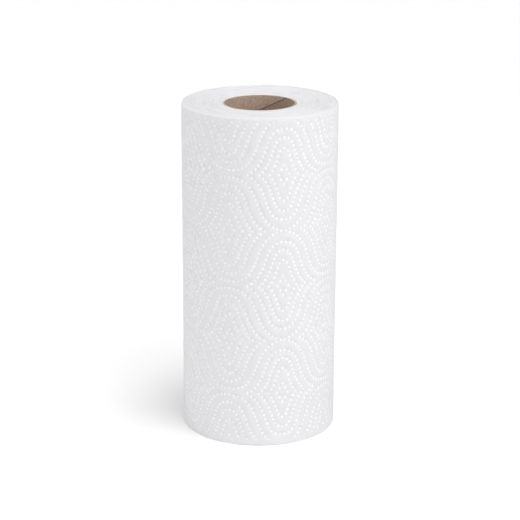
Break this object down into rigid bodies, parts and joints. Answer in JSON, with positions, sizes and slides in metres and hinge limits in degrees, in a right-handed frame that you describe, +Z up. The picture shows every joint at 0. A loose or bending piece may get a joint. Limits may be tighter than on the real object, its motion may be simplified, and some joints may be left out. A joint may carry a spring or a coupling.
{
  "type": "paper towel roll",
  "caption": "Standing roll of white embossed paper towel wound on an open cardboard core, for drying and wiping; the core slips over a holder's rod.",
  "frame": {"origin": "centre of the roll on the surface that it stands on", "axes": "+Z up along the core, -Y towards the viewer, the free end of the sheet at the back"},
  "size_m": [0.1059, 0.1061, 0.228],
  "materials": {
    "core_board": "matt grey-brown recycled board, spiral wound",
    "towel_paper": "soft matt white tissue, embossed with dotted lines"
  },
  "bodies": {
    "root": {"core_tube": "core_board", "towel_roll": "towel_paper"}
  },
  "joints": []
}
